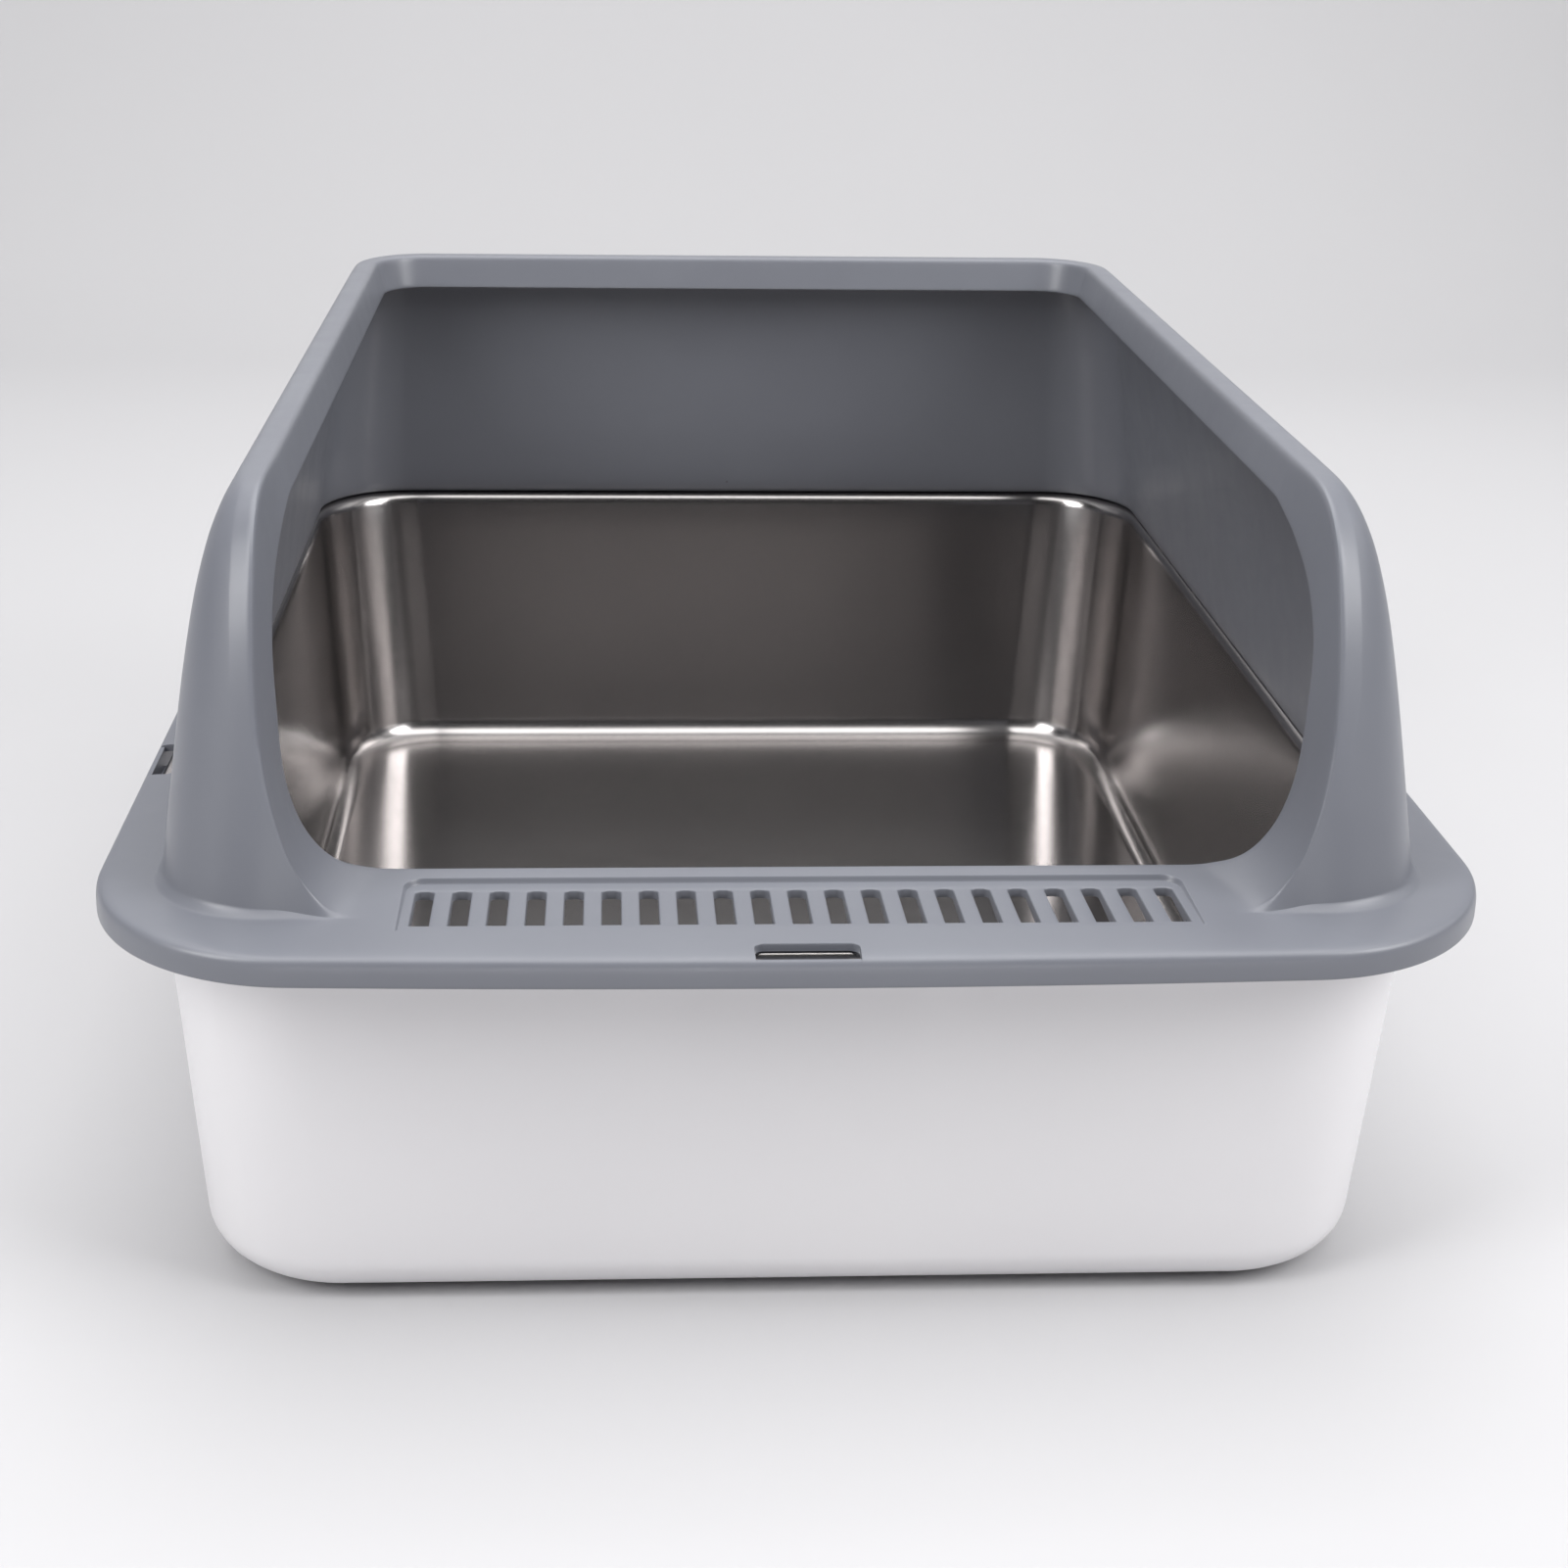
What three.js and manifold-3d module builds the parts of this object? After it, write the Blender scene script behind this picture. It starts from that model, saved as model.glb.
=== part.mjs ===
// Semi-enclosed litter box: a moulded outer tub on four anti-slip pads, a drawn steel pan that
// drops into the tub, and a one-piece plastic surround that clips over the pan's rolled rim and
// carries the entry platform with its litter grille.
// Millimetres, +Z up. The entry faces -Y. The origin is on the ground under the middle of the box.
import * as THREE from "three";
import { mergeVertices } from "three/addons/utils/BufferGeometryUtils.js";
import Module from "manifold-3d";

const wasm = await Module();
wasm.setup();

// Surround: skirt and flange
const boxWidth = 364.6; // over the skirt, left to right
const boxLength = 469; // over the skirt, mid front to mid back
const plasticWall = 2.2; // wall of the whole moulding
const skirtDrop = 8; // flange top to the skirt's lower edge
const skirtCorner = 55; // plan radius of the skirt's corners
const edgeRound = 2.6; // rounding between flange and skirt
const endBow = 5; // crown of the front and back edges
const sideLedge = 17.3; // skirt to the foot of the side walls
const frontLedge = 21.5; // skirt, without its crown, to the foot of the posts
const backLedge = 16; // the same to the foot of the back wall

// Surround: walls and posts
const wallHeight = 99; // flange to the top of the rim
const frontFootCorner = 30; // plan radius of the posts at the flange
const backFootCorner = 34; // plan radius of the back corners at the flange
const frontRimCorner = 14; // the same two radii at the rim
const backRimCorner = 25;
const postTightenPower = 3; // how late the posts' radius tightens towards the rim's
const footFillet = 3; // fillet between flange and wall
const wallLean = 12.4; // how far the walls lean in over their height
const shoulderRoll = 9.6; // how far the shoulder rolls in on top of that
const postLean = 23; // the same two for the front of the posts
const postRoll = 44;
const shoulderStartPower = 4; // how late the shoulder starts to roll
const shoulderTightShare = 0.6; // how tightly it turns at the rim, tighter when smaller
const postStartPower = 4;
const postTightShare = 0.25;

// Surround: rim, lip and entry
const rimLand = 6.2; // flat top of the rim
const lipDrop = 11.7; // depth of the turned-down lip
const lipInset = 3; // how far the lip's edge stands inside the rim land
const entryDraft = 1; // how much narrower the entry is at its foot than at the rim
const entrySweepWidth = 21; // the sweep that carries the platform up into the posts
const entrySweepHeight = 60;
const platformDepth = 30.2; // foot of the posts to the platform's inner edge
const lipSweepWidth = 25.5; // the same sweep on the platform's inner edge

// Surround: grille of slots in its sloping recess
const slotPitch = 9.6;
const slotWidth = 4.9;
const slotLength = 23.6;
const slotCorner = 1.7; // rear corners only: the front ends are square
const slotMargin = 12.3; // slots to the platform's inner edge
const grilleMargin = 17; // grille to the foot of the sweep on each side
const recessDepth = 1.5; // at the rear, fading out ahead of the slots
const recessSlope = 2; // width in plan of the slope round the recess's floor
const recessSideGap = 2.2; // slots to the slope on each side
const recessRearGap = 4.6; // and behind them
const recessLead = 2.2; // slots' front ends to where the recess fades out
const recessCorner = 6;

// Surround: catches under the rolled rim, each below a window in the flange
const endWindowLength = 26;
const endWindowReach = 9.5; // how far the end windows reach in from the skirt's face
const sideWindowLength = 24;
const sideWindowReach = 8.4;
const sideWindowPlace = 98; // from the middle, to the front and to the back
const windowCorner = 2.5;
const windowNotch = 0.9; // how far the window takes down the top of the skirt
const catchMargin = 2; // window's end to catch's end
const catchBite = 1.2; // how far a catch reaches under the rolled rim
const catchTip = 0.9; // thickness of a catch at its tip
const catchLift = 0.4; // play between catch and rolled rim

// Steel pan
const steelSheet = 0.8;
const panDepth = 104.8; // rim to floor, inside
const panCorner = 36; // plan radius of the wall at the mouth
const panFloorCorner = 37; // plan radius of the wall at the floor
const panFloorFillet = 8.5;
const mouthFillet = 4.5; // rim to wall
const beadRadius = 1.6; // rolled edge of the rim
const rimCorner = 50; // plan radius of the rim
const rimGap = 1.8; // rolled edge to skirt

// Outer tub
const tubWall = 1.6;
const tubFloor = 2.4;
const tubFillet = 12; // outside, wall to floor
const tubRimWall = 2;
const tubRimInset = 1.2; // edge of the tub's rim to the pan's rolled edge
const wallDraftShare = 0.052; // run over rise of the walls of tub and pan

// Pads
const padDiameter = 18;
const padProud = 1.5; // how far a pad stands below the tub's floor
const padSocket = 1; // depth of the socket that it is glued into
const padInset = 36; // pad's centre to the tub's wall at the floor

// Clearances and cutting
const seatGap = 0.3; // between pieces that rest on each other
const nestGap = 0.3; // pan's wall to tub's wall
const hangGap = 2.3; // the tub's floor to the pan, which hangs from its rim
const overrun = 2; // how far a cutter runs past what it cuts

// Numbers of segments and of stations
const cornerSegments = 8;
const filletSegments = 3;
const beadSegments = 6;
const smallSegments = 3;
const padSegments = 24;
const platformStations = 8;
const postStations = 22;
const sideStations = 10;
const backCornerStations = 9;
const backStations = 6;
const creaseSamples = 40;

// Levels, stacked up from the ground
const tubUnder = padProud;
const tubFloorTop = tubUnder + tubFloor;
const panUnder = tubFloorTop + hangGap;
const panFloor = panUnder + steelSheet;
const steelTop = panFloor + panDepth;
const steelUnder = steelTop - steelSheet;
const beadUnder = steelTop - 2 * beadRadius;
const tubRimTop = steelUnder - seatGap;
const flangeUnder = steelTop + seatGap;
const flangeTop = flangeUnder + plasticWall;
const skirtUnder = flangeTop - skirtDrop;

// Half sizes in plan, from the outside in
const skirtHalfWidth = boxWidth / 2;
const skirtHalfLength = boxLength / 2 - endBow;
const footHalfWidth = skirtHalfWidth - sideLedge;
const footFront = skirtHalfLength - frontLedge;
const footBack = skirtHalfLength - backLedge;
const beadHalfWidth = skirtHalfWidth - plasticWall - rimGap;
const beadHalfLength = skirtHalfLength - plasticWall - rimGap;
const mouthHalfWidth = footHalfWidth - plasticWall;
const mouthHalfLength = footBack - plasticWall;
const creaseHalfWidth = footHalfWidth - wallLean - shoulderRoll - rimLand;
const lipHalfWidth = creaseHalfWidth - lipInset;
const entryFootHalfWidth = creaseHalfWidth - entryDraft - entrySweepWidth;
const platformEdge = -(footFront - platformDepth);

// Colours, roughness and metalness of the four materials
const satinGrey = new THREE.MeshStandardMaterial({ color: 0x80848d, roughness: 0.5, metalness: 0 });
const brushedSteel = new THREE.MeshStandardMaterial({ color: 0xb9b6b2, roughness: 0.25, metalness: 1 });
const satinWhite = new THREE.MeshStandardMaterial({ color: 0xe3e2e6, roughness: 0.4, metalness: 0 });
const softRubber = new THREE.MeshStandardMaterial({ color: 0x4a4a4c, roughness: 0.9, metalness: 0 });

const lerp = THREE.MathUtils.lerp;
const point = (x, y, z) => new THREE.Vector3(x, y, z);
const quarterTurn = Math.PI / 2;

// Evenly spaced shares from 0 to 1, both ends included.
function evenShares(segments) {
  return Array.from({ length: segments + 1 }, (_, k) => k / segments);
}

// The two triangles of each quad between two neighbouring rings of vertices.
function ringTriangles(count, lower, upper) {
  const triangles = [];
  for (let i = 0; i < count; i++) {
    const next = (i + 1) % count;
    triangles.push([lower + i, lower + next, upper + next]);
    triangles.push([lower + i, upper + next, upper + i]);
  }
  return triangles;
}

function solidFrom(vertices, triangles) {
  const vertProperties = new Float32Array(vertices.flatMap((v) => [v.x, v.y, v.z]));
  const triVerts = new Uint32Array(triangles.flat());
  return new wasm.Manifold(new wasm.Mesh({ numProp: 3, vertProperties, triVerts }));
}

// A section swept round the box: rings of vertices, the last joined to the first.
function loftLoop(rings) {
  const count = rings[0].length;
  const triangles = rings.flatMap((ring, j) =>
    ringTriangles(count, j * count, ((j + 1) % rings.length) * count),
  );
  return solidFrom(rings.flat(), triangles);
}

// Rings of vertices, each joined to the next, with the first and the last closed by a flat face.
function loftCapped(rings) {
  const count = rings[0].length;
  const last = (rings.length - 1) * count;
  const vertices = rings.flat();
  const triangles = rings
    .slice(1)
    .flatMap((ring, j) => ringTriangles(count, j * count, (j + 1) * count));
  const middle = (ring) => ring.reduce((sum, p) => sum.add(p), point(0, 0, 0)).divideScalar(count);
  const under = vertices.push(middle(rings[0])) - 1;
  const above = vertices.push(middle(rings.at(-1))) - 1;
  for (let i = 0; i < count; i++) {
    const next = (i + 1) % count;
    triangles.push([under, next, i]);
    triangles.push([above, last + i, last + next]);
  }
  return solidFrom(vertices, triangles);
}

// A closed three.js geometry as a solid for joining and cutting.
function solidOf(geometry, matrix = new THREE.Matrix4()) {
  const bare = geometry.clone().applyMatrix4(matrix);
  bare.deleteAttribute("normal");
  bare.deleteAttribute("uv");
  const merged = mergeVertices(bare);
  const vertProperties = new Float32Array(merged.attributes.position.array);
  const triVerts = new Uint32Array(merged.index.array);
  return new wasm.Manifold(new wasm.Mesh({ numProp: 3, vertProperties, triVerts }));
}

function geometryOf(solid) {
  const mesh = solid.getMesh();
  const positions = [];
  for (let i = 0; i < mesh.numVert; i++) {
    const start = i * mesh.numProp;
    positions.push(...mesh.vertProperties.subarray(start, start + 3));
  }
  const geometry = new THREE.BufferGeometry();
  geometry.setAttribute("position", new THREE.Float32BufferAttribute(positions, 3));
  geometry.setIndex(new THREE.BufferAttribute(new Uint32Array(mesh.triVerts), 1));
  geometry.computeVertexNormals();
  return geometry;
}

// A plan outline extruded from one level up to another.
function prism(outline, bottom, top) {
  const settings = { depth: top - bottom, bevelEnabled: false };
  const geometry = new THREE.ExtrudeGeometry(new THREE.Shape(outline), settings);
  return solidOf(geometry.translate(0, 0, bottom));
}

// A quarter round in plan, anticlockwise, that starts after a number of quarter turns.
function quarterArc(x, y, radius, start, segments) {
  return evenShares(segments).map((share) => {
    const angle = (start + share) * quarterTurn;
    return new THREE.Vector2(x + radius * Math.cos(angle), y + radius * Math.sin(angle));
  });
}

// A rectangle in plan with square front corners and round rear ones.
function roundedRear(left, right, front, rear, radius, segments) {
  return [
    new THREE.Vector2(left, front),
    new THREE.Vector2(right, front),
    ...quarterArc(right - radius, rear - radius, radius, 0, segments),
    ...quarterArc(left + radius, rear - radius, radius, 1, segments),
  ];
}

// A rounded rectangle at one level.
function roundRing(halfWidth, halfLength, radius, z) {
  const x = halfWidth - radius;
  const y = halfLength - radius;
  const plan = [
    ...quarterArc(x, -y, radius, 3, cornerSegments),
    ...quarterArc(x, y, radius, 0, cornerSegments),
    ...quarterArc(-x, y, radius, 1, cornerSegments),
    ...quarterArc(-x, -y, radius, 2, cornerSegments),
  ];
  return plan.map((p) => point(p.x, p.y, z));
}

// Walls of pan and tub: every face is the pan's inner face moved outwards

function wallRing(outward, z) {
  const inset = (steelTop - z) * wallDraftShare - outward;
  const corner = lerp(panCorner, panFloorCorner, (steelTop - z) / panDepth) + outward;
  return roundRing(mouthHalfWidth - inset, mouthHalfLength - inset, corner, z);
}

// The fillet between floor and wall, from the floor up.
function floorFilletRings(outward, floor, fillet) {
  return evenShares(filletSegments).map((share) => {
    const angle = share * quarterTurn;
    const inset = fillet * (1 - Math.sin(angle));
    return wallRing(outward - inset, floor + fillet * (1 - Math.cos(angle)));
  });
}

// The fillet between rim and wall, from the rim down.
function mouthFilletRings(outward, level, fillet) {
  return evenShares(filletSegments).map((share) => {
    const angle = share * quarterTurn;
    const flare = fillet * (1 - Math.sin(angle));
    return wallRing(outward + flare, level - fillet * (1 - Math.cos(angle)));
  });
}

// The rim of the pan or tub at a distance inside the pan's rolled edge.
function rimRing(inset, z) {
  return roundRing(beadHalfWidth - inset, beadHalfLength - inset, rimCorner - inset, z);
}

// The pan's rolled edge, from under the rim round to its top.
function beadRings() {
  const roll = evenShares(beadSegments).map((share) => {
    const angle = lerp(-Math.PI, quarterTurn, share);
    const z = steelTop - beadRadius + beadRadius * Math.sin(angle);
    return rimRing(beadRadius * (1 - Math.cos(angle)), z);
  });
  return [rimRing(2 * beadRadius, steelUnder), ...roll];
}

function makePan() {
  return loftCapped([
    ...floorFilletRings(steelSheet, panUnder, panFloorFillet + steelSheet),
    ...mouthFilletRings(steelSheet, steelUnder, mouthFillet - steelSheet).reverse(),
    ...beadRings(),
    ...mouthFilletRings(0, steelTop, mouthFillet),
    ...floorFilletRings(0, panFloor, panFloorFillet).reverse(),
  ]);
}

const tubInside = steelSheet + nestGap;
const tubOutside = tubInside + tubWall;

function makeTub() {
  const rimInset = 2 * beadRadius + tubRimInset;
  const tub = loftCapped([
    ...floorFilletRings(tubOutside, tubUnder, tubFillet),
    wallRing(tubOutside, tubRimTop - tubRimWall),
    rimRing(rimInset, tubRimTop - tubRimWall),
    rimRing(rimInset, tubRimTop),
    ...mouthFilletRings(tubInside, tubRimTop, mouthFillet - tubInside),
    ...floorFilletRings(tubInside, tubFloorTop, panFloorFillet + steelSheet).reverse(),
  ]);
  const socket = disc(padDiameter / 2 + seatGap, tubUnder - overrun, tubUnder + padSocket);
  return padPlaces.reduce(
    (solid, [, x, y]) => solid.subtract(solidOf(socket, new THREE.Matrix4().makeTranslation(x, y, 0))),
    tub,
  );
}

// Pads, in sockets in the tub's floor

const floorInset = (steelTop - tubUnder) * wallDraftShare - tubOutside;
const padX = mouthHalfWidth - floorInset - padInset;
const padY = mouthHalfLength - floorInset - padInset;
const padPlaces = [
  ["foot_pad_front_left", -padX, -padY],
  ["foot_pad_front_right", padX, -padY],
  ["foot_pad_back_left", -padX, padY],
  ["foot_pad_back_right", padX, padY],
];

// An upright cylinder between two levels.
function disc(radius, bottom, top) {
  const geometry = new THREE.CylinderGeometry(radius, radius, top - bottom, padSegments);
  return geometry.rotateX(quarterTurn).translate(0, 0, (top + bottom) / 2);
}

// Surround: plan outlines of its outer face

// How far a face has moved in at a height: an even lean, then a roll that ends level.
function moveIn(height, lean, roll, power, tightShare) {
  const share = THREE.MathUtils.clamp(height / wallHeight, 0, 1);
  return lean * share + roll * (1 - (1 - share ** power) ** tightShare);
}

function outlineAt(height) {
  const sideIn = moveIn(height, wallLean, shoulderRoll, shoulderStartPower, shoulderTightShare);
  const postIn = moveIn(height, postLean, postRoll, postStartPower, postTightShare);
  return {
    side: footHalfWidth - sideIn,
    front: footFront - postIn,
    back: footBack - sideIn,
    frontCorner: lerp(frontFootCorner, frontRimCorner, (height / wallHeight) ** postTightenPower),
    backCorner: lerp(backFootCorner, backRimCorner, height / wallHeight),
  };
}

const shrunk = (outline, inset) => ({
  side: outline.side - inset,
  front: outline.front - inset,
  back: outline.back - inset,
  frontCorner: outline.frontCorner - inset,
  backCorner: outline.backCorner - inset,
});

// A point of the right half of an outline. Zone 0 to 1 is the front, then come the front
// corner, the side, the back corner and the back, one zone each.
function planPoint(zone, { side, front, back, frontCorner, backCorner }) {
  const part = Math.min(Math.floor(zone), 4);
  const share = zone - part;
  const sine = Math.sin(share * quarterTurn);
  const cosine = Math.cos(share * quarterTurn);
  const frontX = side - frontCorner;
  const frontY = frontCorner - front;
  const backX = side - backCorner;
  const backY = back - backCorner;
  if (part === 0) return new THREE.Vector2(share * frontX, -front);
  if (part === 1) return new THREE.Vector2(frontX + frontCorner * sine, frontY - frontCorner * cosine);
  if (part === 2) return new THREE.Vector2(side, lerp(frontY, backY, share));
  if (part === 3) return new THREE.Vector2(backX + backCorner * cosine, backY + backCorner * sine);
  return new THREE.Vector2((1 - share) * backX, back);
}

const skirtOutline = {
  side: skirtHalfWidth,
  front: skirtHalfLength,
  back: skirtHalfLength,
  frontCorner: skirtCorner,
  backCorner: skirtCorner,
};

// The skirt's outline with the crown of its front and back edges.
function skirtPoint(zone, inset, z) {
  const plan = planPoint(zone, shrunk(skirtOutline, inset));
  const crown = endBow * (1 - (plan.x / (skirtHalfWidth - inset)) ** 2);
  return point(plan.x, plan.y + Math.sign(plan.y) * crown, z);
}

// Surround: the front corners, where the walls sweep down into the platform

// Half the entry's width at a height above the flange.
function entryAt(height) {
  const straight = creaseHalfWidth - entryDraft * (1 - height / wallHeight);
  const fall = Math.max(0, 1 - height / entrySweepHeight);
  return straight - entrySweepWidth * (1 - Math.sqrt(1 - fall ** 2));
}

// The front of an outline at a distance from the middle of the box.
function frontAt(height, x) {
  const { side, front, frontCorner } = outlineAt(height);
  const past = Math.max(0, x - (side - frontCorner));
  return frontCorner - front - Math.sqrt(Math.max(0, frontCorner ** 2 - past ** 2));
}

const rimOutline = outlineAt(wallHeight);
const bendY = rimOutline.frontCorner - rimOutline.front;

// The crease between outer face and lip, from the level rim down to the platform.
function makeCrease() {
  const points = [point(creaseHalfWidth, bendY, flangeTop + wallHeight)];
  for (const share of evenShares(creaseSamples)) {
    const height = (wallHeight * (1 + Math.cos(2 * share * quarterTurn))) / 2;
    const x = entryAt(height);
    points.push(point(x, frontAt(height, x), flangeTop + height));
  }
  return new THREE.CatmullRomCurve3(points);
}

// The free edge of the lip, as shares of its sweep's width, of its way back from the platform's
// edge to the bend, and of the height of the level lip.
const lipEdgeShares = [
  [0, 1, 1],
  [0, 0.6, 0.94],
  [0, 0.25, 0.84],
  [0.01, 0.05, 0.7],
  [0.03, 0, 0.54],
  [0.09, 0, 0.27],
  [0.28, 0, 0.115],
  [0.56, 0, 0.03],
  [1, 0, 0],
];

function makeLipEdge() {
  return new THREE.CatmullRomCurve3(
    lipEdgeShares.map(([inward, back, up]) =>
      point(
        lipHalfWidth - inward * lipSweepWidth,
        lerp(platformEdge, bendY, back),
        flangeTop + up * (wallHeight - lipDrop),
      ),
    ),
  );
}

// The foot of the wall from the bend, round the front corner, to the end of the crease.
function makeFootLine() {
  const path = new THREE.CurvePath();
  const x = footHalfWidth - frontFootCorner;
  const y = frontFootCorner - footFront;
  const bend = new THREE.Vector2(footHalfWidth, bendY);
  const sideEnd = new THREE.Vector2(footHalfWidth, y);
  const frontStart = new THREE.Vector2(x, -footFront);
  const frontEnd = new THREE.Vector2(entryFootHalfWidth, -footFront);
  path.add(new THREE.LineCurve(bend, sideEnd));
  path.add(new THREE.EllipseCurve(x, y, frontFootCorner, frontFootCorner, 0, -quarterTurn, true));
  path.add(new THREE.LineCurve(frontStart, frontEnd));
  return path;
}

const crease = makeCrease();
const lipEdge = makeLipEdge();
const footLine = makeFootLine();

// The point that the rows of a front corner fan out from, in plan.
const fanShare = 1 / 3;
const fan = new THREE.Vector2(footHalfWidth * fanShare, -footFront * fanShare);
const angleOf = (p) => Math.atan2(p.y - fan.y, p.x - fan.x);

// The point of the front right corner of an outline in a direction from the fan's centre.
function onFrontCorner(height, angle) {
  const { side, front, frontCorner } = outlineAt(height);
  const way = new THREE.Vector2(Math.cos(angle), Math.sin(angle));
  const centre = new THREE.Vector2(side - frontCorner, frontCorner - front);
  const sideHit = fan.clone().addScaledVector(way, (side - fan.x) / way.x);
  const frontHit = fan.clone().addScaledVector(way, (-front - fan.y) / way.y);
  const z = flangeTop + height;
  if (sideHit.y >= centre.y) return point(side, sideHit.y, z);
  if (frontHit.x <= centre.x) return point(frontHit.x, -front, z);
  const toCentre = centre.clone().sub(fan);
  const along = toCentre.dot(way);
  const reach = along + Math.sqrt(along ** 2 - toCentre.lengthSq() + frontCorner ** 2);
  return point(fan.x + reach * way.x, fan.y + reach * way.y, z);
}

// Surround: stations of its outer face. Each lists its points from the skirt's lower edge over
// the flange, up the wall, across the rim and down the lip.

const rowShares = [0.25, 0.5, 0.72, 0.86, 0.94, 0.985, 1]; // of the wall's height
const fanRowShares = [0.18, 0.38, 0.58, 0.74, 0.86, 0.95, 1]; // of the way from foot to crease
const landAngleShare = 0.45; // most of the fan that the rim land takes

// Where the wall has run out on the platform, its rows lie side by side in a narrow strip.
const spreadStrip = 1.4;
const flatStartShare = 0.12; // of the wall's height, below which the strip opens
const spreadShares = [1, 0.7, 0.45, 0.2, -0.05, -0.3, -0.55, -0.8, -1.5];

function flangePoints(zone) {
  const soft = edgeRound * (1 - Math.SQRT1_2);
  return [
    skirtPoint(zone, 0, skirtUnder),
    skirtPoint(zone, 0, flangeTop - edgeRound),
    skirtPoint(zone, soft, flangeTop - soft),
    skirtPoint(zone, edgeRound, flangeTop),
  ];
}

// The skirt's zones at which the crease runs out and at which the rim bends.
const creaseEndZone = entryFootHalfWidth / (skirtHalfWidth - skirtCorner);
const bendZone = 2.5 + bendY / (2 * (skirtHalfLength - skirtCorner));

// A station where the rim is level, behind the bend.
function wallStation(zone) {
  const at = (height, inset) => {
    const outline = shrunk(outlineAt(height), inset);
    const plan = planPoint(zone, outline);
    const sideEnd = outline.back - outline.backCorner;
    if (zone < 3) plan.set(outline.side, lerp(bendY, sideEnd, (zone - bendZone) / (3 - bendZone)));
    return point(plan.x, plan.y, flangeTop + height);
  };
  const lip = at(wallHeight, rimLand + lipInset);
  lip.z -= lipDrop;
  const rows = rowShares.map((share) => at(share * wallHeight, 0));
  return [...flangePoints(zone), at(0, -footFillet), at(footFillet, 0), ...rows, at(wallHeight, rimLand), lip];
}

// A station on a front corner, at a share of the way along crease, foot line and lip edge.
function postStation(zone, along) {
  const top = crease.getPointAt(along);
  const footPlan = footLine.getPointAt(along);
  const height = top.z - flangeTop;
  const footAngle = angleOf(footPlan);
  const topAngle = angleOf(top);
  const landAngle = Math.atan(rimLand / Math.hypot(top.x - fan.x, top.y - fan.y));
  const rowsEnd = topAngle + Math.min(landAngle, (footAngle - topAngle) * landAngleShare);
  const flatness = Math.max(0, 1 - height / (flatStartShare * wallHeight));
  const outward = footPlan.clone().sub(fan).normalize();
  const push = (p, distance) => p.add(point(outward.x * distance, outward.y * distance, 0));
  const rows = [
    onFrontCorner(Math.min(footFillet, height * rowShares[0]), footAngle),
    ...rowShares.map((share, k) => onFrontCorner(share * height, lerp(footAngle, rowsEnd, fanRowShares[k]))),
    top,
  ];
  return [
    ...flangePoints(zone),
    push(point(footPlan.x, footPlan.y, flangeTop), footFillet + flatness * spreadStrip / 2),
    ...rows.map((p, k) => push(p, spreadShares[k] * spreadStrip * flatness)),
    lipEdge.getPointAt(along),
  ];
}

// A station on the platform, at a share of the way from the middle to the end of the crease.
function platformStation(zone, across) {
  const ahead = [footFillet + spreadStrip / 2, ...spreadShares.map((share) => share * spreadStrip)];
  return [
    ...flangePoints(zone),
    ...ahead.map((distance) => point(across * entryFootHalfWidth, -footFront - distance, flangeTop)),
    point(across * (lipHalfWidth - lipSweepWidth), platformEdge, flangeTop),
  ];
}

// Stations from mid front round the right side to mid back.
function rightStations() {
  const stations = [];
  for (let k = 0; k < platformStations; k++) {
    const across = k / platformStations;
    stations.push(platformStation(across * creaseEndZone, across));
  }
  for (let k = 0; k < postStations; k++) {
    const share = k / postStations;
    stations.push(postStation(lerp(creaseEndZone, bendZone, share), 1 - share));
  }
  for (let k = 0; k < sideStations; k++) stations.push(wallStation(lerp(bendZone, 3, k / sideStations)));
  for (let k = 0; k < backCornerStations; k++) stations.push(wallStation(3 + k / backCornerStations));
  for (let k = 0; k <= backStations; k++) stations.push(wallStation(4 + k / backStations));
  return stations;
}

// The outer face all the way round, as rings of points from the skirt to the lip.
function outerRings() {
  const right = rightStations();
  const mirrored = (p) => point(-p.x, p.y, p.z);
  const left = right.slice(1, -1).reverse().map((station) => station.map(mirrored));
  const stations = [...right, ...left];
  return stations[0].map((_, row) => stations.map((station) => station[row]));
}

const footRow = 4; // the ring where the flange meets the wall

// The inner face: the outer one moved in by the wall, and flat where it rests on the pan's rim.
function innerRings(rings) {
  const count = rings[0].length;
  const sheet = new THREE.BufferGeometry().setFromPoints(rings.flat());
  const triangles = rings
    .slice(1)
    .flatMap((ring, j) => ringTriangles(count, j * count, (j + 1) * count));
  sheet.setIndex(triangles.flat());
  sheet.computeVertexNormals();
  const normals = sheet.attributes.normal;
  return rings.map((ring, j) =>
    ring.map((p, i) => {
      const normal = new THREE.Vector3().fromBufferAttribute(normals, j * count + i);
      const inner = p.clone().addScaledVector(normal, -plasticWall);
      if (j === footRow || j === footRow + 1) inner.z = flangeUnder;
      return inner;
    }),
  );
}

// Surround: grille

const slotRear = platformEdge - slotMargin;
const slotFront = slotRear - slotLength;
const slotsEachSide = Math.floor((entryFootHalfWidth - grilleMargin) / slotPitch);
const recessHalfWidth = slotsEachSide * slotPitch + slotWidth / 2 + recessSideGap;
const recessRear = slotRear + recessRearGap;
const recessFront = slotFront - recessLead;

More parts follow.
